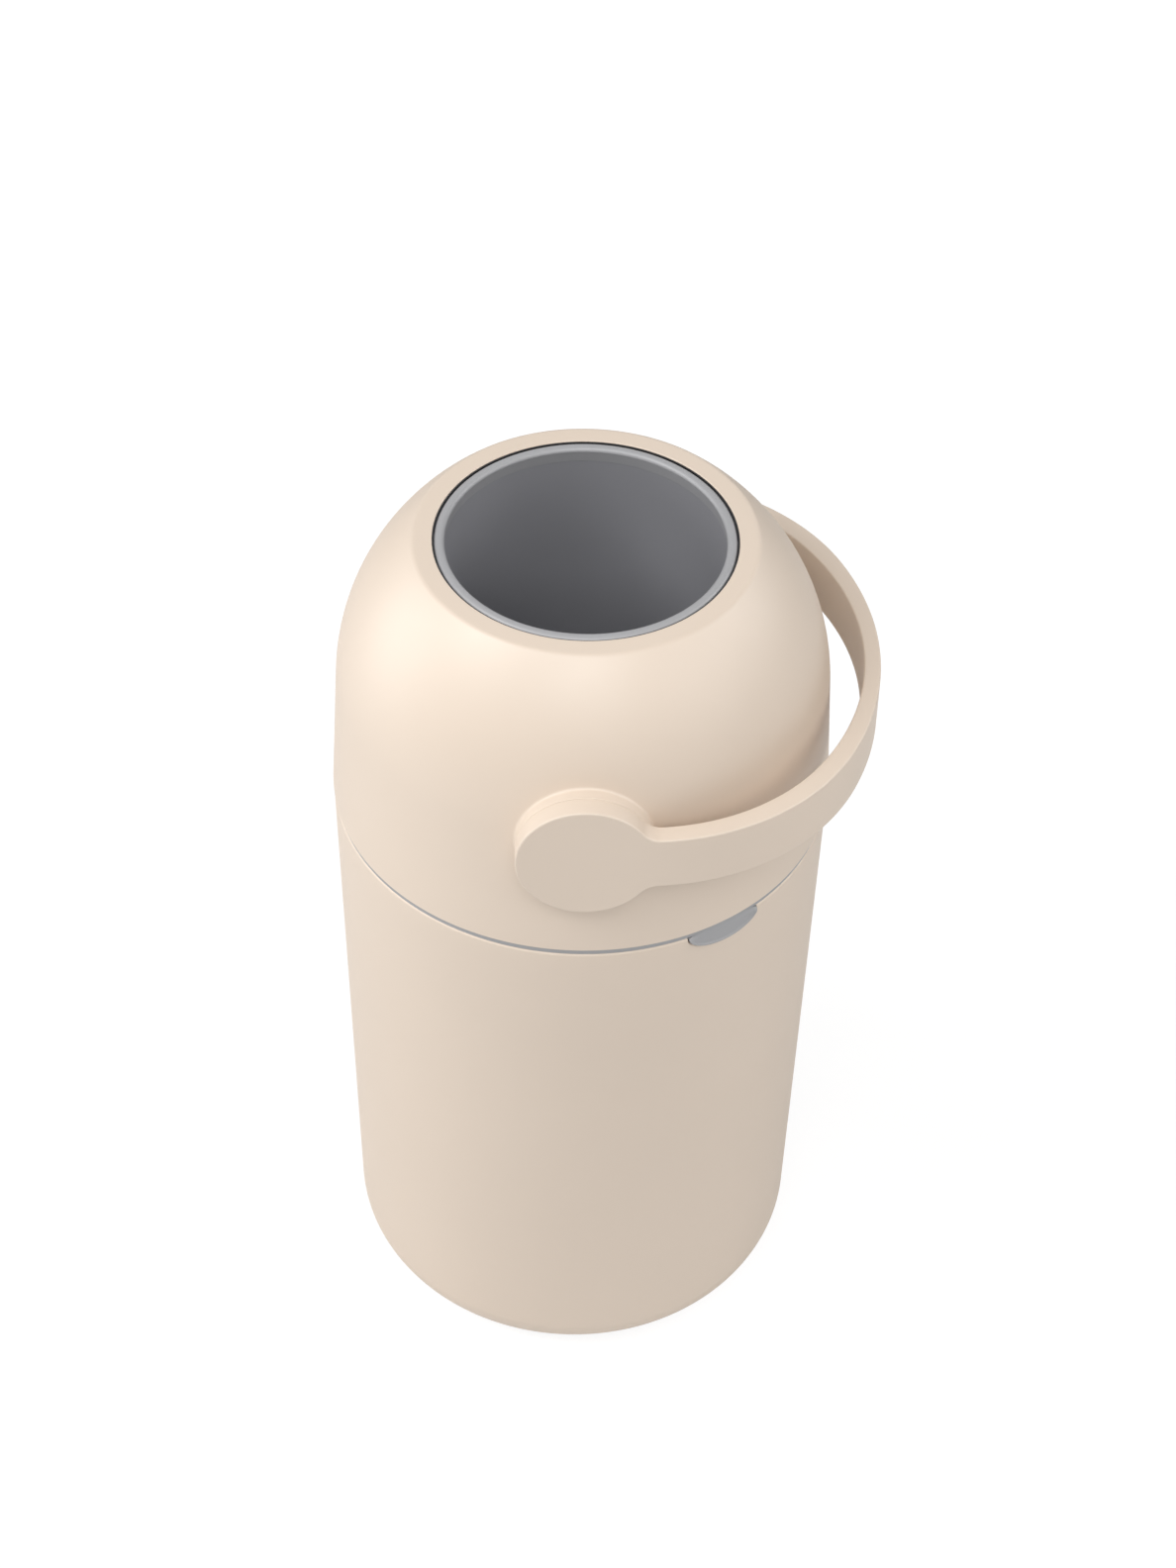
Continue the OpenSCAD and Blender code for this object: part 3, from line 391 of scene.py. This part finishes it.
def domeProfile(inset):
    # from the lower edge straight up to where the line touches the shoulder's circle, then along the circle:
    # the outer skin ends where the land's round begins, the inner skin at the land's underside
    edge, r, centre = dome["edgeRadius"] - inset, dome["radius"] - inset, dome["centre"]
    a = math.atan2(-centre, edge) + math.acos(r / math.hypot(edge, centre))
    land = dome["height"] - (dome["landRound"] if inset == 0 else inset)
    if inset == 0:
        end = math.asin((land - centre) / (r - dome["landRound"]))
    else:
        end = math.asin((land - centre) / r)
    touch = np.array([r * math.cos(a), centre + r * math.sin(a)])
    straight = np.array([edge, 0.0]) + (touch - [edge, 0.0]) * np.linspace(0, 1, 40)[:, None]
    angles = np.linspace(a, end, 240)[1:]
    arc = np.stack([r * np.cos(angles), centre + r * np.sin(angles)], -1)
    return np.concatenate([straight, arc])


class Skin:
    # the dome's outer or inner skin: u is the distance round at the widest place,
    # v the distance up along the profile
    def __init__(self, inset):
        self.profile = domeProfile(inset)
        steps = np.linalg.norm(np.diff(self.profile, axis=0), axis=1)
        self.along = np.concatenate([[0], np.cumsum(steps)])
        self.bossAt = np.interp(dome["pivot"], self.profile[:, 1], self.along)
        self.scale = dome["radius"] - inset

    def radiusAt(self, z):
        return np.interp(z, self.profile[:, 1], self.profile[:, 0])

    def depthAt(self, x, z):
        return np.sqrt(self.radiusAt(z) ** 2 - x ** 2)

    def place(self, u, v):
        r = np.interp(v, self.along, self.profile[:, 0])
        z = np.interp(v, self.along, self.profile[:, 1])
        return np.stack([r * np.sin(u / self.scale), -r * np.cos(u / self.scale), z], -1)

    def flatten(self, x, z):
        return self.scale * np.arcsin(x / self.radiusAt(z)), np.interp(z, self.profile[:, 1], self.along)


def borderPoints(skin, psi, outer):
    # where rays from the boss reach the border of the half skin, whose sides are a quarter turn away
    half = math.pi / 2 * outer.scale
    up, down = outer.along[-1] - outer.bossAt, outer.bossAt
    c, s = np.cos(psi), np.sin(psi)
    reach = np.minimum(half / np.maximum(abs(c), 1e-9), np.where(s > 0, up, down) / np.maximum(abs(s), 1e-9))
    u = reach * c / outer.scale * skin.scale
    v = reach * s
    share = np.where(v > 0, (skin.along[-1] - skin.bossAt) / up, skin.bossAt / down)
    return u, skin.bossAt + v * share


def rayAngles(outer):
    # one ray for each column, with one through each corner of the half skin
    half = math.pi / 2 * outer.scale
    up, down = outer.along[-1] - outer.bossAt, outer.bossAt
    high, low = math.atan2(up, half), math.atan2(down, half)
    corners = [-low, high, math.pi - high, math.pi + low]
    turn = 2 * math.pi
    ends = corners + [corners[0] + turn]
    spans = [b - a for a, b in zip(ends[:-1], ends[1:])]
    counts = [max(8, round(dome["columns"] * span / turn)) for span in spans]
    parts = [np.linspace(a, b, n, endpoint=False) for a, b, n in zip(ends[:-1], ends[1:], counts)]
    return np.concatenate(parts), counts


def skinRows(skin, psi, ring, outer, rows):
    # rows spread from the ring round the boss out to the border, close together near the boss
    x, z = ring * np.cos(psi), dome["pivot"] + ring * np.sin(psi)
    u0, v0 = skin.flatten(x, z)
    u1, v1 = borderPoints(skin, psi, outer)
    t = np.linspace(0, 1, rows)[:, None]
    t = 0.35 * t + 0.65 * t ** 2.2
    return skin.place(u0 + (u1 - u0) * t, v0 + (v1 - v0) * t)


def bossRows(skin, psi):
    # from the bush bore out over the boss's face, down its side and along the hollow where it meets the dome
    d = dome
    face = roundedLine([(d["bore"], d["sleeveEnd"], 0), (d["bore"], d["bossFace"], 0.3),
                        (d["bossRadius"], d["bossFace"], d["bossRound"]),
                        (d["bossRadius"], d["bossFace"] - 2, 0)], 4, 0.2)[:-1]
    c, s = np.cos(psi), np.sin(psi)
    rows = np.stack([face[:, :1] * c, -face[:, 1:] + 0 * c, d["pivot"] + face[:, :1] * s], -1)
    wide = d["bossRadius"] + d["fillet"]
    y = skin.depthAt(wide * c, d["pivot"] + wide * s)
    yNear = skin.depthAt((wide + 0.5) * c, d["pivot"] + (wide + 0.5) * s)
    corner = y + (y - yNear) / 0.5 * d["fillet"]
    start = np.minimum(corner + d["fillet"] * 0.8, d["bossFace"] - d["bossRound"] - 0.3)
    t = np.linspace(0, 1, 13)[:, None]
    r = d["bossRadius"] * (1 - t) ** 2 + 2 * d["bossRadius"] * t * (1 - t) + wide * t ** 2
    depth = start * (1 - t) ** 2 + 2 * corner * t * (1 - t) + y * t ** 2
    hollow = np.stack([r * c, -depth, d["pivot"] + r * s], -1)
    return rows, hollow[:-1]


def insideRows(skin, psi):
    # behind the boss: out of the sleeve's end, back along its outside and across to the wall
    d = dome
    behind = d["bossFace"] - d["wall"]
    line = np.array([(d["bore"], d["sleeveEnd"]), (d["sleeve"], d["sleeveEnd"]), (d["sleeve"], behind),
                     (d["bossRadius"] - d["wall"], behind)])
    c, s = np.cos(psi), np.sin(psi)
    return np.stack([line[:, :1] * c, -line[:, 1:] + 0 * c, d["pivot"] + line[:, :1] * s], -1)


def domeGrids():
    d = dome
    outer, inner = Skin(0.0), Skin(d["wall"])
    psi, counts = rayAngles(outer)
    boss, hollow = bossRows(outer, psi)
    outside = np.concatenate([boss, hollow, skinRows(outer, psi, d["bossRadius"] + d["fillet"], outer, 44)])
    behind = insideRows(inner, psi)
    inside = np.concatenate([behind, skinRows(inner, psi, d["bossRadius"] - d["wall"], outer, 26)])
    up = np.array([0, 0, d["base"]])
    uTop, _ = borderPoints(outer, psi, outer)
    side, top = counts[0], counts[1]
    topColumns = np.arange(side, side + top + 1)
    lowColumns = np.arange(side + top + counts[2], len(psi) + 1) % len(psi)
    land = d["height"] - d["landRound"]
    rLand = outer.profile[-1]
    centre = np.array([math.sqrt((d["radius"] - d["landRound"]) ** 2 - (land - d["centre"]) ** 2), land])
    a0 = math.atan2(rLand[1] - centre[1], rLand[0] - centre[0])
    arc = np.linspace(a0, math.pi / 2, 9)[1:]
    rounding = centre + d["landRound"] * np.stack([np.cos(arc), np.sin(arc)], -1)
    lip = roundedLine([(centre[0] - 0.5, d["height"], 0), (d["opening"], d["height"], d["openingRound"]),
                       (d["opening"], d["height"] - d["edgeThick"], 0.3),
                       (d["opening"] + d["slope"], d["height"] - d["wall"], 0.4),
                       tuple(inner.profile[-1]) + (0,)], 6, 0.2)
    over = np.concatenate([[rLand], rounding, closer(lip, 6)])
    under = np.array([(d["edgeRadius"], 0), (d["edgeRadius"] - 0.4, 0), (d["edgeRadius"] - d["wall"], 0)])
    thetaTop = uTop[topColumns] / outer.scale - math.pi / 2
    thetaLow = uTop[lowColumns] / outer.scale - math.pi / 2
    half = ((outside, True), (inside, True), (revolved(over, thetaTop), False), (revolved(under, thetaLow), False))
    return [((grid + up) * np.array([1, flip, 1]), False, close) for flip in (1, -1) for grid, close in half]


makePiece("domeShell", domeGrids(), "head", ["dome"], finishes["creamShell"])


# ---------- handle ----------

handle = dict(pivot=447.6, disc=36.8, discThick=11.25, outFace=148.4, width=33.6, armThick=10.9, endInside=153.7,
              reach=162.8, arm=31.0, corner=127.0, edgeRound=1.0, backRound=0.4, root=12.0,
              thickenOver=3.0, roundFrom=24.0, roundOver=14.0)


def bailPath(s):
    # outer face of the bail seen from above: straight arm, corner arc, end arc;
    # returns place, inward direction and the length to the middle of the bail
    h = handle
    cornerY = h["outFace"] - h["corner"]
    short = h["reach"] - h["arm"] - h["corner"]
    over = (cornerY ** 2 + short ** 2) / (2 * short)
    endRadius, endAngle = h["corner"] + over, math.asin(cornerY / over)
    endX = h["reach"] - endRadius
    cornerLength = h["corner"] * (math.pi / 2 - endAngle)
    straight = s <= h["arm"]
    inCorner = s <= h["arm"] + cornerLength
    a = np.where(inCorner, -math.pi / 2 + (s - h["arm"]) / h["corner"],
                 -endAngle + (s - h["arm"] - cornerLength) / endRadius)
    radius = np.where(inCorner, h["corner"], endRadius)
    cx = np.where(inCorner, h["arm"], endX)
    cy = np.where(inCorner, -cornerY, 0.0)
    out = np.stack([np.where(straight, 0, np.cos(a)), np.where(straight, -1, np.sin(a))], -1)
    place = np.stack([np.where(straight, s, cx + radius * np.cos(a)),
                      np.where(straight, -h["outFace"], cy + radius * np.sin(a))], -1)
    return place, -out, h["arm"] + cornerLength + endRadius * endAngle


def bailThickness(s):
    # armThick along the arms and corners; at the end, the way inward until the inner end arc is met,
    # which touches both inner corner arcs
    h = handle
    place, inward, _ = bailPath(s)
    cornerY, inner = h["outFace"] - h["corner"], h["corner"] - h["armThick"]
    short = h["endInside"] - h["arm"] - inner
    over = (cornerY ** 2 + short ** 2) / (2 * short)
    radius = inner + over
    offset = place - np.array([h["endInside"] - radius, 0])
    b = (offset * inward).sum(-1)
    way = -b - np.sqrt(np.maximum(b ** 2 - (offset ** 2).sum(-1) + radius ** 2, 0))
    met = offset + inward * way[..., None]
    atEnd = np.abs(np.arctan2(met[..., 1], met[..., 0])) < math.asin(cornerY / over)
    return np.where(atEnd, way, h["armThick"])


def handleStations():
    # the outline's upper half from the far side of the hub disc to the middle of the bail:
    # place, height and the edge's direction
    h = handle
    half = h["width"] / 2
    up = half + h["root"]
    cx = math.sqrt((h["disc"] + h["root"]) ** 2 - up ** 2)
    touch = math.atan2(up, cx)
    a = math.pi - (math.pi - touch) * (0.5 - 0.5 * np.cos(np.linspace(0, 1, 64) * math.pi)) ** 0.9
    discS, discH = h["disc"] * np.cos(a), h["disc"] * np.sin(a)
    b = np.linspace(touch + math.pi, 1.5 * math.pi, 14)[1:]
    rootS, rootH = cx + h["root"] * np.cos(b), up + h["root"] * np.sin(b)
    _, _, middle = bailPath(np.array([0.0]))
    armS = np.concatenate([[cx + 0.4], np.linspace(cx + 2, middle, 84)])
    s = np.concatenate([discS, rootS, armS])
    height = np.concatenate([discH, rootH, np.full(len(armS), half)])
    edgeS = np.concatenate([np.cos(a), -np.cos(b), np.zeros(len(armS))])
    edgeH = np.concatenate([np.sin(a), -np.sin(b), np.ones(len(armS))])
    return s, height, edgeS, edgeH


def handleGrid():
    # each row is the section at one station: across the outer face, round the lower edge,
    # back across the inner face and round the upper edge
    h = handle
    s, height, edgeS, edgeH = handleStations()
    # past the disc the thickness turns into the bail's; the inner edge's round grows along the arm
    thick = h["discThick"] + (bailThickness(s) - h["discThick"]) * np.clip((s - h["disc"]) / h["thickenOver"], 0, 1)
    grown = np.clip((s - h["roundFrom"]) / h["roundOver"], 0, 1)
    inner = (h["backRound"] + (h["edgeRound"] - h["backRound"]) * grown)[:, None]
    outer = np.full_like(s, h["edgeRound"])[:, None]
    q = np.linspace(0, math.pi / 2, 7)
    # how far in from the outline and how deep the edge's points lie, from the outer face to the inner face
    inset = np.concatenate([outer * (1 - np.sin(q)), inner * (1 - np.cos(q))], 1)
    depth = np.concatenate([outer * (1 - np.cos(q)), thick[:, None] - inner * (1 - np.sin(q))], 1)
    edgeAtS = s[:, None] - edgeS[:, None] * inset
    edgeAtH = height[:, None] - edgeH[:, None] * inset
    edgeAtH = np.maximum(edgeAtH, 0)
    share = np.concatenate([[0.012], np.linspace(0.05, 0.95, 11), [0.988]])
    faceS, backS = [np.repeat(edgeAtS[:, [column]], len(share), 1) for column in (0, -1)]
    faceH, backH = [edgeAtH[:, [column]] * (1 - 2 * share) for column in (0, -1)]
    faceD, backD = [np.repeat(depth[:, [column]], len(share), 1) for column in (0, -1)]
    allS = np.concatenate([faceS, edgeAtS, backS[:, ::-1], edgeAtS[:, ::-1]], 1)
    allH = np.concatenate([faceH, -edgeAtH, backH[:, ::-1], edgeAtH[:, ::-1]], 1)
    allD = np.concatenate([faceD, depth, backD[:, ::-1], depth[:, ::-1]], 1)
    place, inward, _ = bailPath(allS)
    xy = place + inward * allD[..., None]
    grid = np.concatenate([xy, (h["pivot"] + allH)[..., None]], -1)
    mirrored = grid[-2::-1] * np.array([1, -1, 1])
    return np.concatenate([grid, mirrored])


makePiece("carryHandle", [(handleGrid(), False, True)], "drum", ["handle"],
          finishes["creamShell"])


# ---------- tube and its lip rings ----------

tube = dict(pivot=447.6, radius=76.4, wall=3.6, lipIn=1.2, lipOuter=81.0, lipTop=96.37, lipHeight=4.2,
            lipSkirt=5.0, lipFit=0.05, skirtEdge=0.2, thinning=7.0, lipRound=2.5, columns=224)


def lipProfile():
    # the ring's section: its skirt thins out towards its end, inside the tube
    t = tube
    bore, seat = t["radius"] - t["lipIn"], t["lipTop"] - t["lipHeight"]
    end = seat - t["lipSkirt"]
    outer, skirt = t["lipOuter"], t["radius"] - t["lipFit"]
    return roundedLine([(bore, end + t["thinning"], 0), (bore, t["lipTop"], t["lipRound"]),
                        (outer, t["lipTop"], t["lipRound"]), (outer, seat, 0.3), (skirt, seat, 0.15),
                        (skirt, end, 0),
                        (t["radius"] - t["skirtEdge"], end, 0), (bore, end + t["thinning"], 0)], 8, 0.15)[:-1]


def tubeProfile():
    t = tube
    seat = t["lipTop"] - t["lipHeight"]
    outer = t["radius"] + t["wall"]
    line = roundedLine([(t["radius"], 0, 0), (t["radius"], seat, 0.2), (outer, seat, 0.2), (outer, -seat, 0.2),
                        (t["radius"], -seat, 0.2), (t["radius"], 0, 0)], 2, 0.2)[:-1]
    return closer(np.concatenate([line, line[:1]]), 12)[:-1]


turns = fullTurn(tube["columns"])
# the tube gets the darker grey, painted shade for its deep inside
makePiece("tubeSleeve", [(revolved(tubeProfile(), turns, tube["pivot"]), True, True)], "drum", ["nappy_tube"],
          finishes["shadedTubeGrey"])
lipGrid = revolved(lipProfile(), turns)
for name, flip, node in (("mouthRing", 1, "upper_lip_ring"), ("exitRing", -1, "lower_lip_ring")):
    grid = lipGrid * np.array([1, 1, flip]) + np.array([0, 0, tube["pivot"]])
    makePiece(name, [(grid, True, True)], "drum", [node], finishes["greyTrim"])


# ---------- nodes that stay as they are, with their finishes ----------

nodeFinishes = {
    "rubberSeal": ["base_pads", "ring_gasket", "upper_seal", "lower_seal", "upper_wiper", "lower_wiper"],
    "greyInner": ["head_base", "drum_front", "drum_rear", "piston_cup", "piston_cover"],
    "acetal": ["bush_front", "bush_rear", "axle_front", "axle_rear"],
    "zincSteel": ["base_screws", "drum_screws", "axle_screws", "piston_weight", "piston_screws"],
}
for finish, names in nodeFinishes.items():
    for name in names:
        materials = nodes[name].data.materials
        materials.clear()
        materials.append(finishes[finish])
print("nodes with finishes:", sum(len(n) for n in nodeFinishes.values()))


# ---------- floor, light and camera ----------

ground = dict(radii=(0.0, 400, 2000, 9000), below=0.2, columns=64, grey=0.82, shown=0.22,
              glowNear=0.85, glowFar=1.0, glowFrom=0.5, glowTo=1.6)


def studioFloor():
    # a wide plain disc; the camera sees it nearly white with the object's faint shadow, and white far away
    g = ground
    rings = np.array([[r, -g["below"]] for r in g["radii"]])
    grid = revolved(rings, fullTurn(g["columns"])) * mm
    quads = quadsOf(len(rings), g["columns"], False, True, 0)[:, ::-1]
    mesh = bpy.data.meshes.new("floor")
    mesh.from_pydata(grid.reshape(-1, 3).tolist(), [], quads.tolist())
    floor = bpy.data.objects.new("floor", mesh)
    bpy.context.scene.collection.objects.link(floor)
    material = bpy.data.materials.new("paleFloor")
    material.use_nodes = True
    tree = material.node_tree
    tree.nodes.clear()
    output = tree.nodes.new("ShaderNodeOutputMaterial")
    diffuse = addNode(tree, "ShaderNodeBsdfDiffuse", Color=(g["grey"], g["grey"], g["grey"], 1))
    shown = addNode(tree, "ShaderNodeBsdfDiffuse", Color=(g["shown"], g["shown"], g["shown"], 1))
    glow = addNode(tree, "ShaderNodeEmission", Color=(1, 1, 1, 1))
    place = tree.nodes.new("ShaderNodeTexCoord")
    away = addNode(tree, "ShaderNodeVectorMath", operation="LENGTH")
    tree.links.new(place.outputs["Object"], away.inputs[0])
    whiter = tree.nodes.new("ShaderNodeMapRange")
    limits = {"From Min": "glowFrom", "From Max": "glowTo", "To Min": "glowNear", "To Max": "glowFar"}
    for key, value in limits.items():
        whiter.inputs[key].default_value = g[value]
    tree.links.new(away.outputs["Value"], whiter.inputs["Value"])
    tree.links.new(whiter.outputs["Result"], glow.inputs["Strength"])
    bright = tree.nodes.new("ShaderNodeAddShader")
    tree.links.new(shown.outputs[0], bright.inputs[0])
    tree.links.new(glow.outputs[0], bright.inputs[1])
    path = tree.nodes.new("ShaderNodeLightPath")
    pick = tree.nodes.new("ShaderNodeMixShader")
    tree.links.new(path.outputs["Is Camera Ray"], pick.inputs[0])
    tree.links.new(diffuse.outputs[0], pick.inputs[1])
    tree.links.new(bright.outputs[0], pick.inputs[2])
    tree.links.new(pick.outputs[0], output.inputs["Surface"])
    mesh.materials.append(material)


def studioWorld(strength):
    # camera rays and glossy rays see white; all other rays meet a soft light of this strength
    world = bpy.data.worlds.new("studio")
    bpy.context.scene.world = world
    world.use_nodes = True
    tree = world.node_tree
    tree.nodes.clear()
    output = tree.nodes.new("ShaderNodeOutputWorld")
    soft = addNode(tree, "ShaderNodeBackground", Color=(1.0, 1.0, 1.0, 1), Strength=strength)
    white = addNode(tree, "ShaderNodeBackground", Color=(1, 1, 1, 1), Strength=1.0)
    path = tree.nodes.new("ShaderNodeLightPath")
    seen = addNode(tree, "ShaderNodeMath", operation="MAXIMUM")
    tree.links.new(path.outputs["Is Camera Ray"], seen.inputs[0])
    tree.links.new(path.outputs["Is Glossy Ray"], seen.inputs[1])
    pick = tree.nodes.new("ShaderNodeMixShader")
    tree.links.new(seen.outputs[0], pick.inputs[0])
    tree.links.new(soft.outputs[0], pick.inputs[1])
    tree.links.new(white.outputs[0], pick.inputs[2])
    tree.links.new(pick.outputs[0], output.inputs["Surface"])


softboxes = {
    "keyBox": dict(azimuth=-70, elevation=48, watts=29),
    "leftBox": dict(azimuth=-100, elevation=10, watts=17.5),
    "frontBox": dict(azimuth=0, elevation=50, watts=21),
    "fillBox": dict(azimuth=60, elevation=30, watts=8.9),
    "rightBox": dict(azimuth=100, elevation=30, watts=13.5),
}


def softbox(name, azimuth, elevation, watts, distance=2.4, size=1.3, aimHeight=0.3):
    # a square lamp aimed at the middle of the bin; azimuth is turned from the -Y side towards +X
    a, e = math.radians(azimuth), math.radians(elevation)
    back = Vector((math.sin(a) * math.cos(e), -math.cos(a) * math.cos(e), math.sin(e)))
    lamp = bpy.data.lights.new(name, "AREA")
    lamp.size = size
    lamp.energy = watts
    holder = bpy.data.objects.new(name, lamp)
    bpy.context.scene.collection.objects.link(holder)
    turn = (-back).to_track_quat("-Z", "Y").to_matrix().to_4x4()
    holder.matrix_world = Matrix.Translation(Vector((0, 0, aimHeight)) + back * distance) @ turn


shot = dict(place=(-31.0, -1389.6, 1717.1), pan=0.0253, tilt=0.773, roll=0.0237, focalPixels=3449,
            imageHeight=1584, sensor=36.0)


def studioCamera():
    # forward comes from pan and tilt, then the camera is rolled about it
    p, t, roll = shot["pan"], shot["tilt"], shot["roll"]
    forward = Vector((math.sin(p) * math.cos(t), math.cos(p) * math.cos(t), -math.sin(t)))
    right = Vector((math.cos(p), -math.sin(p), 0))
    up = right.cross(forward)
    x = right * math.cos(roll) + up * math.sin(roll)
    y = up * math.cos(roll) - right * math.sin(roll)
    camera = bpy.data.cameras.new("photoView")
    camera.sensor_width = shot["sensor"]
    camera.lens = shot["sensor"] * shot["focalPixels"] / shot["imageHeight"]
    holder = bpy.data.objects.new("photoView", camera)
    bpy.context.scene.collection.objects.link(holder)
    turn = Matrix((x, y, -forward)).transposed().to_4x4()
    holder.matrix_world = Matrix.Translation(Vector(shot["place"]) * mm) @ turn
    bpy.context.scene.camera = holder


studioFloor()
studioWorld(0.2)
for name, values in softboxes.items():
    softbox(name, **values)
studioCamera()
bpy.context.scene.view_settings.view_transform = "Standard"
print("studio ready")
